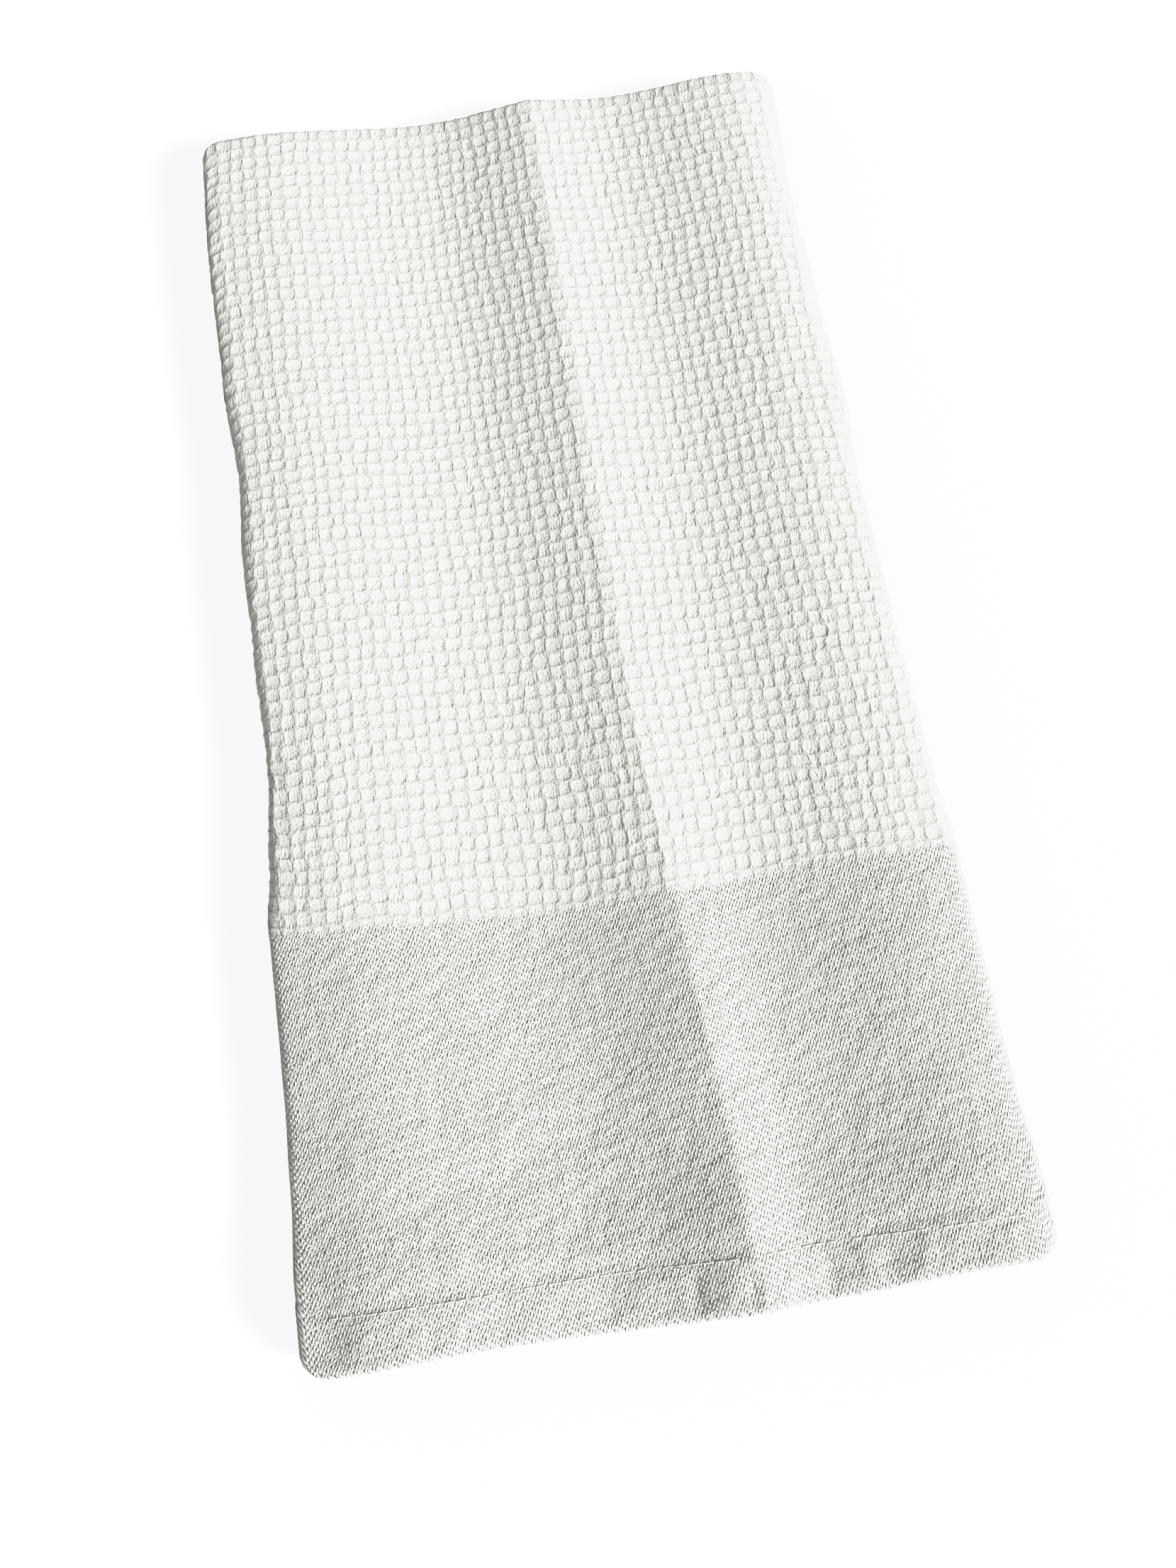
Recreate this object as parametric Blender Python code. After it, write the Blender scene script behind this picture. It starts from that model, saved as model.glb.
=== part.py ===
"""Tea towel folded in four, as one closed solid.

One woven cotton cloth. Both long sides are folded under until they meet below the face, and
the doubled strip is then folded across its middle. X runs across the face and Y along it.
The fold across the middle is at +Y, the stitched ends are at -Y. The cloth lies on z = 0 with
the origin under its middle. Everything is in metres.
"""

import math

import bmesh
import bpy

MM = 0.001

# The folded towel, seen from above
FACE_WIDTH = 203 * MM
FACE_LENGTH = 392 * MM
REAR_SHORTER = 22 * MM  # the rear half ends this far before the front half
CORNER_RADIUS = 7 * MM

# The cloth: a thick cellular weave, a flat band at each end and a turned, stitched hem
FIELD_THICK = 1.6 * MM
BAND_THICK = 1.25 * MM
HEM_THICK = 1.9 * MM
HEM_DEPTH = 14.5 * MM
BAND_DEPTH = 111 * MM  # from the end of the cloth to the start of the cellular weave
WEAVE_CHANGE = 3 * MM  # length over which one thickness passes into the next

# The stack of four layers
LAYER_PITCH = 2.6 * MM  # middle of one layer to the middle of the next
FLAP_GAP = 5 * MM  # between the two long edges, below the ridge of the face
SIDE_ROLL = 1.6 * MM  # how far a folded side reaches past the flat of its layers
TURN_SLACK = 1.2 * MM  # inner radius added at the fold across the middle
SIDE_ROUNDING = 7 * MM  # width over which the face curves down to its folded sides
SIDE_KEPT = 0.45  # share of the face's lift that is left at its folded sides

# Share of the face's lift that each layer follows
FACE_LIFT = 1.0
FRONT_FLAP_LIFT = 0.55
REAR_FLAP_LIFT = 0.2
REAR_FACE_LIFT = 0.0

# How far each folded side lies inside the widest line: (y, left side, right side)
SIDE_ROWS = (
    (190 * MM, 0.6 * MM, 3.6 * MM),
    (155 * MM, 0.0 * MM, 5.8 * MM),
    (105 * MM, 1.2 * MM, 4.9 * MM),
    (66 * MM, 3.6 * MM, 3.2 * MM),
    (42 * MM, 2.6 * MM, 4.9 * MM),
    (5 * MM, 3.4 * MM, 4.3 * MM),
    (-30 * MM, 4.5 * MM, 3.9 * MM),
    (-60 * MM, 2.8 * MM, 3.2 * MM),
    (-84 * MM, 0.9 * MM, 1.4 * MM),
    (-120 * MM, 1.1 * MM, 0.9 * MM),
    (-192 * MM, 0.0 * MM, 0.2 * MM),
)

# How far the stitched end lies inside a straight line: (x, inset)
END_ROWS = (
    (100 * MM, 0.5 * MM),
    (82 * MM, 0.8 * MM),
    (42 * MM, -1.0 * MM),
    (0 * MM, -1.0 * MM),
    (-62 * MM, 0.9 * MM),
    (-95 * MM, 0.0 * MM),
)
END_REACH = 60 * MM  # length of cloth over which the uneven end fades out

# Soft folds that run along the face, left to right. Each has its place across and its height
# above the lowest dip, at the far end, in the middle and at the near end. Crease is 0 for a
# round fold and 1 or more for a sharp one.
FOLD_ENDS = (190 * MM, 0.0, -190 * MM)
FACE_FOLDS = (
    # name, places across in mm, heights in mm, crease
    ("left crown", (-80, -78, -76), (4.6, 4.8, 4.2), 0.0),
    ("long dip", (-26, -24, -20), (0.0, 0.8, 1.2), 0.0),
    ("centre ridge", (14.5, 13.5, 20), (6.2, 5.6, 5.6), 1.2),
    ("narrow valley", (38, 40, 44), (3.1, 2.8, 2.0), 0.0),
    ("right crown", (82, 84, 87), (7.6, 6.4, 6.4), 0.0),
)
RIDGE = 3  # the centre ridge, counted from the left side
LEFT_SIDE_HEIGHT = 3.6 * MM
RIGHT_SIDE_HEIGHT = 5.6 * MM

# Segments of the cloth in each stretch
FLAP_SEGMENTS = 3
ROLL_SEGMENTS = 6
FACE_SEGMENTS = (5, 4, 6, 4, 5, 5)
HEM_SEGMENTS = 2
FRONT_BAND_SEGMENTS = 6
FRONT_FIELD_SEGMENTS = 12
TURN_SEGMENTS = 7
REAR_BAND_SEGMENTS = 3
REAR_FIELD_SEGMENTS = 7
EDGE_CROWDING = 1.6  # above 1, the segments beside a folded side are the narrower ones

COTTON_COLOUR = (0.83, 0.83, 0.80, 1.0)
COTTON_ROUGHNESS = 0.9


def mix(start, end, share):
    return start + (end - start) * share


def ease(share):
    share = min(max(share, 0.0), 1.0)
    return share * share * (3 - 2 * share)


def eased_rows(rows, place):
    """Reads a table whose rows start with a falling place, passing smoothly from row to row."""
    if place >= rows[0][0]:
        return rows[0][1:]
    for above, below in zip(rows, rows[1:]):
        if place >= below[0]:
            share = ease((above[0] - place) / (above[0] - below[0]))
            return [mix(a, b, share) for a, b in zip(above[1:], below[1:])]
    return rows[-1][1:]


def quarter_round(distance, radius):
    """0 at the edge, 1 from one radius inwards, on a quarter circle."""
    share = 1 - min(max(distance / radius, 0.0), 1.0)
    return math.sqrt(1 - share * share)


def fold_lines(y):
    """(place across, height, crease) of each fold line of the face at y, sides included."""
    left_inset, right_inset = eased_rows(SIDE_ROWS, y)
    lines = [(-FACE_WIDTH / 2 + left_inset, LEFT_SIDE_HEIGHT, 0.0)]
    for _, places, heights, crease in FACE_FOLDS:
        rows = [(end, place * MM, height * MM) for end, place, height in zip(FOLD_ENDS, places, heights)]
        place, height = eased_rows(rows, y)
        lines.append((place, height, crease))
    lines.append((FACE_WIDTH / 2 - right_inset, RIGHT_SIDE_HEIGHT, 0.0))
    return lines


def inwards_of(x, lines):
    """Distance from x to the nearer folded side."""
    return min(x - lines[0][0], lines[-1][0] - x)


def lift_of(x, lines):
    """Height of the face above its lowest dip, on a smooth curve through the fold lines."""
    for (x0, h0, crease0), (x1, h1, crease1) in zip(lines, lines[1:]):
        if x <= x1:
            break
    t = min(max((x - x0) / (x1 - x0), 0.0), 1.0)
    curve = ease(t)
    curve += crease0 * (t - 2 * t * t + t * t * t)
    curve += crease1 * (t * t * t - t * t)
    side = quarter_round(inwards_of(x, lines), SIDE_ROUNDING)
    return mix(h0, h1, curve) * mix(SIDE_KEPT, 1.0, side)


def even_stretch(start, end, steps):
    return [mix(start, end, step / steps) for step in range(steps + 1)]


def crowded_stretch(start, end, steps):
    """Places from start to end, closer together near the start."""
    return [mix(start, end, (step / steps) ** EDGE_CROWDING) for step in range(steps + 1)]


def face_places(places):
    """Columns across the face, with one on each fold line."""
    columns = []
    for index, steps in enumerate(FACE_SEGMENTS):
        start, end = places[index], places[index + 1]
        if index == 0:
            stretch = crowded_stretch(start, end, steps)
        elif index == len(FACE_SEGMENTS) - 1:
            stretch = crowded_stretch(end, start, steps)[::-1]
        else:
            stretch = even_stretch(start, end, steps)
        columns += stretch[:-1]
    return columns + [places[-1]]


def side_roll(place, direction, turns):
    """Half an ellipse from the flap to the face. Direction is -1 at the left, 1 at the right."""
    rise = LAYER_PITCH / 2
    points = []
    for angle in turns:
        outward = math.sin(angle) / SIDE_ROLL
        upward = -math.cos(angle) / rise
        size = math.hypot(outward, upward)
        x = place + direction * SIDE_ROLL * math.sin(angle)
        level = LAYER_PITCH - rise * math.cos(angle)
        points.append((x, level, direction * outward / size, upward / size))
    return points


def section(lines):
    """The cloth's path across the towel, with the direction of its outer side.

    Each point is (place across, distance from the middle of the stack, outward across,
    outward along that distance). The path starts at the left long edge, passes under the
    face to the left side, rolls over, crosses the face and comes back under it.
    """
    flap_level, face_level = LAYER_PITCH / 2, LAYER_PITCH * 3 / 2
    reach = SIDE_ROLL + FIELD_THICK / 2
    left, right = lines[0][0] + reach, lines[-1][0] - reach
    meeting = lines[RIDGE][0]
    turns = [math.pi * step / ROLL_SEGMENTS for step in range(1, ROLL_SEGMENTS)]
    left_flap = even_stretch(meeting - FLAP_GAP / 2, left, FLAP_SEGMENTS)
    right_flap = even_stretch(right, meeting + FLAP_GAP / 2, FLAP_SEGMENTS)
    face = face_places([left] + [line[0] for line in lines[1:-1]] + [right])
    path = [(x, flap_level, 0.0, -1.0) for x in left_flap]
    path += side_roll(left, -1, turns)
    path += [(x, face_level, 0.0, 1.0) for x in face]
    path += side_roll(right, 1, turns[::-1])
    path += [(x, flap_level, 0.0, -1.0) for x in right_flap]
    return path


def half_rows(end, far, band_steps, field_steps):
    """Distances from one end of the cloth up to the fold across the middle."""
    half = WEAVE_CHANGE / 2
    stops = even_stretch(0, HEM_DEPTH - half, HEM_SEGMENTS)
    stops += even_stretch(HEM_DEPTH + half, BAND_DEPTH - half, band_steps)
    stops += even_stretch(BAND_DEPTH + half, far - end, field_steps)
    return stops


def cloth_rows():
    """(y, angle of the turn, distance from the nearer end) along the cloth, front end first."""
    near = -FACE_LENGTH / 2
    far = FACE_LENGTH / 2 - TURN_SLACK - LAYER_PITCH * 3 / 2 - FIELD_THICK / 2
    rear = near + REAR_SHORTER
    front_stops = half_rows(near, far, FRONT_BAND_SEGMENTS, FRONT_FIELD_SEGMENTS)
    rear_stops = half_rows(rear, far, REAR_BAND_SEGMENTS, REAR_FIELD_SEGMENTS)
    rows = [(near + stop, 0.0, stop) for stop in front_stops]
    for step in range(1, TURN_SEGMENTS):
        rows.append((far, math.pi * step / TURN_SEGMENTS, far - near))
    rows += [(rear + stop, math.pi, stop) for stop in reversed(rear_stops)]
    return rows


def thickness(from_end):
    hem_to_band = ease((from_end - HEM_DEPTH) / WEAVE_CHANGE + 0.5)
    band_to_field = ease((from_end - BAND_DEPTH) / WEAVE_CHANGE + 0.5)
    return mix(mix(HEM_THICK, BAND_THICK, hem_to_band), FIELD_THICK, band_to_field)


def folded_point(point, row, lines, side):
    """Where a point on the outer (1) or inner (-1) side of the cloth lies once it is folded."""
    x, level, outward_x, outward_level = point
    y, angle, from_end = row
    thick = thickness(from_end)
    down = (1 - math.cos(angle)) / 2  # 0 on the front half, 1 on the rear half
    outer = (level - LAYER_PITCH / 2) / LAYER_PITCH  # 0 on the flaps, 1 on the face
    upper_share = mix(FRONT_FLAP_LIFT, FACE_LIFT, outer)
    lower_share = mix(REAR_FLAP_LIFT, REAR_FACE_LIFT, outer)
    lift = lift_of(x, lines) * mix(upper_share, lower_share, down)
    x += side * outward_x * thick / 2
    level += side * outward_level * thick / 2
    middle = LAYER_PITCH * 3 / 2 + mix(FIELD_THICK, thick, down) / 2
    z = middle + level * math.cos(angle) + lift
    y += (TURN_SLACK + level) * math.sin(angle)
    y += eased_rows(END_ROWS, x)[0] * ease(1 - (y + FACE_LENGTH / 2) / END_REACH)
    drawn_in = CORNER_RADIUS * (1 - quarter_round(inwards_of(x, lines), CORNER_RADIUS))
    return x, y * (1 - drawn_in / (FACE_LENGTH / 2)), z


def folded_cloth():
    """A flat slab laid out as the cloth, then folded point by point."""
    rows = cloth_rows()
    columns = len(section(fold_lines(0.0)))
    bm = bmesh.new()
    bmesh.ops.create_grid(bm, x_segments=columns - 1, y_segments=len(rows) - 1, size=1.0)
    lower = bmesh.ops.extrude_face_region(bm, geom=bm.faces[:], use_keep_orig=True)
    for item in lower["geom"]:
        if isinstance(item, bmesh.types.BMVert):
            item.co.z = -1.0
    for vert in bm.verts:
        row = rows[round((vert.co.y + 1) / 2 * (len(rows) - 1))]
        lines = fold_lines(row[0])
        point = section(lines)[round((vert.co.x + 1) / 2 * (columns - 1))]
        vert.co = folded_point(point, row, lines, 1 if vert.co.z > -0.5 else -1)
    bmesh.ops.recalc_face_normals(bm, faces=bm.faces)
    mesh = bpy.data.meshes.new("towel_cloth")
    bm.to_mesh(mesh)
    bm.free()
    mesh.shade_smooth()
    return bpy.data.objects.new("towel_cloth", mesh)


def cotton():
    material = bpy.data.materials.new("white_cotton")
    material.use_nodes = True
    shader = material.node_tree.nodes["Principled BSDF"]
    shader.inputs["Base Color"].default_value = COTTON_COLOUR
    shader.inputs["Roughness"].default_value = COTTON_ROUGHNESS
    shader.inputs["Metallic"].default_value = 0.0
    return material


def main():
    for obj in list(bpy.data.objects):
        bpy.data.objects.remove(obj, do_unlink=True)
    collection = bpy.data.collections.new("tea_towel")
    bpy.context.scene.collection.children.link(collection)
    cloth = folded_cloth()
    cloth.data.materials.append(cotton())
    collection.objects.link(cloth)


main()
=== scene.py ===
# %% [markdown]
# # A folded tea towel in white cellular cotton
#
# This lesson dresses one finished construction: a tea towel whose long sides are folded under
# the face, and which is then folded across its middle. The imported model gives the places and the
# sizes. The cloth is rebuilt here on the same folds, thin, with its weave, its hem, its stitches
# and its small creases. Everything is in metres, with Z up, and the towel lies on the floor at
# z = 0. The fold across the middle is at +Y and the stitched ends are at -Y.

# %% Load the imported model
import math

import bpy
import numpy as np
from mathutils import Matrix, Vector


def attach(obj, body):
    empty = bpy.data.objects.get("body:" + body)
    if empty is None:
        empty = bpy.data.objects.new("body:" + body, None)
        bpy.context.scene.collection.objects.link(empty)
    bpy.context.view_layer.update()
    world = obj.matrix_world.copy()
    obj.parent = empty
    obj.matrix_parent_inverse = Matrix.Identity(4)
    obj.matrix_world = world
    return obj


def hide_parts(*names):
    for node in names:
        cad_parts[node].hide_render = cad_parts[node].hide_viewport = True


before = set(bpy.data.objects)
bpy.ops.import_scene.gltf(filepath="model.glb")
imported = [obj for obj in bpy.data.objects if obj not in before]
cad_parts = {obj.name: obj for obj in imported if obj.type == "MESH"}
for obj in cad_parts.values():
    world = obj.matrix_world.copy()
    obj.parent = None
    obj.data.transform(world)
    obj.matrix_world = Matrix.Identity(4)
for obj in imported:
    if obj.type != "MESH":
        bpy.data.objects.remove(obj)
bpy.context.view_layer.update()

MM = 0.001

# %% [markdown]
# ## The camera
#
# The towel is seen from above its near half, turned a little, with a wide lens close to it. The
# places below were found by laying the towel's outline over its picture: with the right distance
# the near end comes out wider than the far one, as it does to the eye. A camera's matrix holds
# its own axes as columns, so the three turns are written as one product.

# %% Camera
SENSOR = 36.0  # mm, along the long side of the frame
LENS = 26.0  # mm
NEAREST = 10 * MM  # nothing closer than this is drawn
EYE = Vector((-18.95, -127.4, 334.74)) * MM
TILT, LEAN, ROLL = 13.752, -2.628, -8.294  # degrees about the camera's X, Y and Z

camera = bpy.data.objects.new("camera", bpy.data.cameras.new("camera"))
bpy.context.scene.collection.objects.link(camera)
camera.data.sensor_width = SENSOR
camera.data.lens = LENS
camera.data.clip_start = NEAREST
camera.matrix_world = (
    Matrix.Translation(EYE)
    @ Matrix.Rotation(math.radians(TILT), 4, "X")
    @ Matrix.Rotation(math.radians(LEAN), 4, "Y")
    @ Matrix.Rotation(math.radians(ROLL), 4, "Z")
)
bpy.context.scene.camera = camera
print("camera", [round(value, 4) for value in camera.location])

# %% [markdown]
# ## Small helpers
#
# Five short functions do most of the work. `mix` passes evenly from one value to another, and
# `ease` makes such a passage start and end gently. `read_rows` reads a table whose rows are
# places on the towel, `quarter_round` makes a rounded shoulder, and `rumple` gives the chance
# unevenness of washed cloth from a fixed seed, so that it comes out the same every time. They
# take whole arrays, because the cloth has tens of thousands of points and a loop over each of
# them would be slow.


# %% Helpers for shapes
def mix(start, end, share):
    return start + (end - start) * share


def ease(share):
    share = np.clip(share, 0.0, 1.0)
    return share * share * (3 - 2 * share)


def read_rows(rows, place):
    """Reads a table of (place, value, ...) rows in mm, passing smoothly from row to row."""
    table = np.array(sorted(rows)) * MM
    place = np.clip(place, table[0, 0], table[-1, 0])
    row = np.clip(np.searchsorted(table[:, 0], place, side="right") - 1, 0, len(table) - 2)
    share = ease((place - table[row, 0]) / (table[row + 1, 0] - table[row, 0]))
    return [mix(table[row, k], table[row + 1, k], share) for k in range(1, table.shape[1])]


def quarter_round(distance, radius):
    """0 at the edge, 1 from one radius inwards, on a quarter circle."""
    share = 1 - np.clip(distance / radius, 0.0, 1.0)
    return np.sqrt(1 - share * share)


print("halfway in, a rounded shoulder has risen to", round(float(quarter_round(0.5, 1.0)), 3))

# %% Chance unevenness
CHANCES = 256  # chance values each way, far more than the towel has humps
OFFSET = 0.37  # keeps the humps off the middle line and the ends


def rumple(u, v, across, along, seed):
    """Smooth random heights from -1 to 1, with about one hump for each across by along."""
    values = np.random.default_rng(seed).uniform(-1, 1, (CHANCES, CHANCES))
    a, b = u / across + OFFSET, v / along + OFFSET
    i, j = np.floor(a).astype(int), np.floor(b).astype(int)
    s, t = ease(a - i), ease(b - j)

    def corner(right, up):
        return values[(i + right) % CHANCES, (j + up) % CHANCES]

    return mix(mix(corner(0, 0), corner(1, 0), s), mix(corner(0, 1), corner(1, 1), s), t)


# %% [markdown]
# ## The folds
#
# The towel is one cloth in four layers. Its section across is a flat C: a flap from the left
# lies under the face, rolls over at the left side, becomes the face, rolls under at the right
# side and ends as a second flap. The two flaps meet under the ridge that shows on the face. That
# section is then turned over across its middle. The face isn't flat: broad crowns stand at the
# sides, a long dip lies left of the ridge and a narrow valley right of it. It could be dropped
# by a cloth simulation, but that wouldn't land on this towel's own folds. So its lines are
# places and heights that were read off one by one, and the layers below follow them less and
# less, until the lowest one lies flat.

# %% Sizes of the folded towel
FACE_WIDTH = 203 * MM
FACE_LENGTH = 392 * MM
REAR_SHORTER = 22 * MM  # the rear half ends this far short of the face, out of sight
CORNER_RADIUS = 7 * MM
FIELD_THICK = 1.6 * MM
BAND_THICK = 1.25 * MM
HEM_THICK = 1.9 * MM
HEM_DEPTH = 14.5 * MM
BAND_DEPTH = 111 * MM
WEAVE_CHANGE = 3 * MM  # length over which one thickness passes into the next
LAYER_PITCH = 2.6 * MM  # from the middle of one layer to the middle of the next
STACK_MIDDLE = LAYER_PITCH * 3 / 2  # of the four layers, above the middle of the lowest
FLAP_GAP = 5 * MM  # between the two flaps
SIDE_ROLL = 1.6 * MM  # how far the cloth swings out where it rolls under at a side
TURN_SLACK = 1.2 * MM  # room left inside the fold across the middle

near_end = -FACE_LENGTH / 2
rear_end = near_end + REAR_SHORTER
turn_start = FACE_LENGTH / 2 - TURN_SLACK - STACK_MIDDLE - FIELD_THICK / 2
front_length = turn_start - near_end
turn_length = math.pi * (TURN_SLACK + STACK_MIDDLE)
rear_length = turn_start - rear_end
cloth_length = front_length + turn_length + rear_length
roll_rise = LAYER_PITCH / 2
roll_length = math.pi * math.sqrt((SIDE_ROLL**2 + roll_rise**2) / 2)
print("cloth from end to end in mm:", round(cloth_length / MM))

# %% Places and heights of the folds, in mm
# y, how far the left side and the right side lie inside the widest line
SIDE_ROWS = (
    (190, 0.6, 3.6), (155, 0.0, 5.8), (105, 1.2, 4.9), (66, 3.6, 3.2), (42, 2.6, 4.9),
    (5, 3.4, 4.3), (-30, 4.5, 3.9), (-60, 2.8, 3.2), (-84, 0.9, 1.4), (-120, 1.1, 0.9),
    (-192, 0.0, 0.2),
)
# x, how far the stitched end lies inside a straight line
END_ROWS = ((100, 0.5), (82, 0.8), (42, -1.0), (0, -1.0), (-62, 0.9), (-95, 0.0))
# y of the places where each fold is read: at the far end, in the middle, at the near end
FOLD_ENDS = (190, 0, -190)
# name, places across, heights, and how sharp a crease it makes, from 0 for a soft wave
FACE_FOLDS = (
    ("left crown", (-80, -78, -77), (4.6, 4.8, 5.2), 0.0),
    ("long dip", (-26, -24, -18), (0.0, 0.8, 0.8), 0.0),
    ("centre ridge", (11.5, 11.5, 20), (6.2, 5.6, 6.8), 1.1),
    ("narrow valley", (38, 40, 39), (3.1, 2.8, 2.4), 0.0),
    ("right crown", (82, 81, 84), (7.6, 6.4, 6.4), 0.0),
)
# y, height of the left side
LEFT_SIDE_ROWS = ((-192, 1.6), (-150, 2.8), (-100, 3.4), (192, 3.6))
# y, how far in from the left side and from the right side the shoulder is round
SIDE_ROUND_ROWS = ((-190, 14, 9), (-150, 11, 8), (-90, 8, 7), (190, 7, 7))

RIGHT_SIDE_HEIGHT = 5.6 * MM
SIDE_KEPT = 0.38  # share of the height that is left where the face rolls under
END_REACH = 60 * MM  # the waver of the stitched end has died away this far up
RIDGE = 1 + [fold[0] for fold in FACE_FOLDS].index("centre ridge")
CREASES = (0.0, *(fold[3] for fold in FACE_FOLDS), 0.0)
# share of the folds that each layer follows, from the top layer down
FACE_LIFT, FRONT_FLAP_LIFT, REAR_FLAP_LIFT, REAR_FACE_LIFT = 1.0, 0.55, 0.2, 0.0
print("folds across the face:", ", ".join(fold[0] for fold in FACE_FOLDS))


# %% The height of the face
def fold_lines(y):
    """Places across and heights of the fold lines of the face at each y, sides included."""
    left_inset, right_inset = read_rows(SIDE_ROWS, y)
    places = [-FACE_WIDTH / 2 + left_inset]
    heights = [read_rows(LEFT_SIDE_ROWS, y)[0]]
    for _, across, high, _ in FACE_FOLDS:
        place, height = read_rows(list(zip(FOLD_ENDS, across, high)), y)
        places.append(place)
        heights.append(height)
    places.append(FACE_WIDTH / 2 - right_inset)
    heights.append(np.full_like(y, RIGHT_SIDE_HEIGHT))
    return places, heights


def lift_of(x, y, places, heights):
    """Height of the face above its lowest dip, on a smooth curve through the fold lines."""
    lift = np.zeros_like(x)
    for index in range(len(places) - 1):
        start, end = places[index], places[index + 1]
        t = np.clip((x - start) / (end - start), 0.0, 1.0)
        curve = ease(t) + CREASES[index] * (t - 2 * t * t + t * t * t)
        curve = curve + CREASES[index + 1] * (t * t * t - t * t)
        here = mix(heights[index], heights[index + 1], curve)
        lift = np.where((x >= start) | (index == 0), here, lift)
    left_round, right_round = read_rows(SIDE_ROUND_ROWS, y)
    side = quarter_round(x - places[0], left_round) * quarter_round(places[-1] - x, right_round)
    return lift * mix(SIDE_KEPT, 1.0, side)


# %% Where a point of the flat cloth goes
def across_towel(u, left, right):
    """Place, level in the stack and outward direction of cloth at u, measured on the face."""
    past = np.maximum(u - right, left - u)
    way = np.where(u - right > left - u, 1.0, -1.0)
    angle = math.pi * (1 - np.clip(past / roll_length, 0.0, 1.0))
    outward, upward = np.sin(angle) / SIDE_ROLL, -np.cos(angle) / roll_rise
    size = np.hypot(outward, upward)
    rolled = np.where(way > 0, right, left) + way * SIDE_ROLL * np.sin(angle)
    x = np.where(past <= 0, u, rolled - way * np.maximum(past - roll_length, 0.0))
    level = LAYER_PITCH - roll_rise * np.cos(angle)
    return x, level, way * outward / size, upward / size


def along_towel(v):
    """y, angle of the turn and distance from the nearer end, of cloth at v from the near end."""
    angle = math.pi * np.clip((v - front_length) / turn_length, 0.0, 1.0)
    behind = np.maximum(v - front_length - turn_length, 0.0)
    y = np.where(v < front_length, near_end + v, turn_start - behind)
    return y, angle, np.minimum(v, cloth_length - v)


def thickness(from_end):
    hem_to_band = ease((from_end - HEM_DEPTH) / WEAVE_CHANGE + 0.5)
    band_to_field = ease((from_end - BAND_DEPTH) / WEAVE_CHANGE + 0.5)
    return mix(mix(HEM_THICK, BAND_THICK, hem_to_band), FIELD_THICK, band_to_field)


for part, from_end in (("hem", 0.0), ("band", BAND_DEPTH / 2), ("field", 2 * BAND_DEPTH)):
    print("thickness of the", part, "in mm:", round(float(thickness(from_end)) / MM, 2))

# %% [markdown]
# ## The cellular weave
#
# The field of the towel is a waffle cloth. Long floats stand up as a net of ridges, and the cloth
# between them sinks into small square cells, about 4.4 mm apart. It could be left to a bump in
# the material, but the net shows in the outline of the far fold and of the sides, and it catches
# the light with its own shadows, so here it is real relief. The mesh has only four or five points
# to a cell each way, so the material finishes the roundness of each bowl, further down. Washing
# has pulled the net out of true: each crossing has slipped a little, the walls of every second
# cell bulge, and no two cells are equally deep.

# %% Cells of the field
CELL_ACROSS = 4.33 * MM
CELL_ALONG = 4.4 * MM
STOPS_ACROSS = (0.0, 0.1, 0.35, 0.65, 0.9)  # points of the mesh in each cell, close by the net
STOPS_ALONG = (0.0, 0.13, 0.5, 0.87)
CELL_DEPTH = 0.2 * MM
DEPTH_SPREAD = 0.5  # a cell is up to this share deeper or shallower than that
CELL_ROUND = 2.2  # 2 for a round cell, far more for a square one
BOWL_FLAT = 0.8  # less for a flat floor between steep walls
FLOOR_TILT = 0.7  # share of its depth by which the floor of a cell leans
NET_UNEVEN = 0.1 * MM
NET_PROUD = 0.1 * MM  # the net stands this far out of the cloth's skin
NET_PRESSED = -0.3 * MM  # and this far under it on the lower half, which lies on the floor
print("cells across the face:", round(FACE_WIDTH / CELL_ACROSS))


def cell_count(u, v):
    """Number of cells from the middle and from the band, fractions included."""
    return u / CELL_ACROSS, (v - BAND_DEPTH) / CELL_ALONG


# %% How washing has moved the net
SLIP = 0.8 * MM  # of a crossing, on its own
BULGE = 0.4 * MM  # of a wall
BULGE_SPREAD = 0.9
BULGE_PATCH = (6 * MM, 6 * MM)  # across and along, of cloth that bulges alike
DRIFT = 1.0 * MM  # of many crossings together
DRIFT_ACROSS_PATCH = (40 * MM, 28 * MM)
DRIFT_ALONG_PATCH = (26 * MM, 60 * MM)


def slipped(u, v):
    """How far each point of the net is pulled out of true, across and along the cloth."""
    a, b = cell_count(u, v)
    bulge = BULGE * (1 + BULGE_SPREAD * rumple(u, v, *BULGE_PATCH, seed=11))
    shift_u = SLIP * rumple(u, v, CELL_ACROSS, CELL_ALONG, seed=12)
    shift_u += DRIFT * rumple(u, v, *DRIFT_ACROSS_PATCH, seed=13)
    shift_u -= bulge * np.cos(math.pi * a) * np.sin(math.pi * b)
    shift_v = SLIP * rumple(u, v, CELL_ACROSS, CELL_ALONG, seed=14)
    shift_v += DRIFT * rumple(u, v, *DRIFT_ALONG_PATCH, seed=15)
    return shift_u, shift_v


# %% How deep each cell is
CELL_CHANCES = 512  # chance values each way, one for each cell
ON_WALL = 0.01  # share of a cell, so that a point on a wall counts for the cell beyond it


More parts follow.
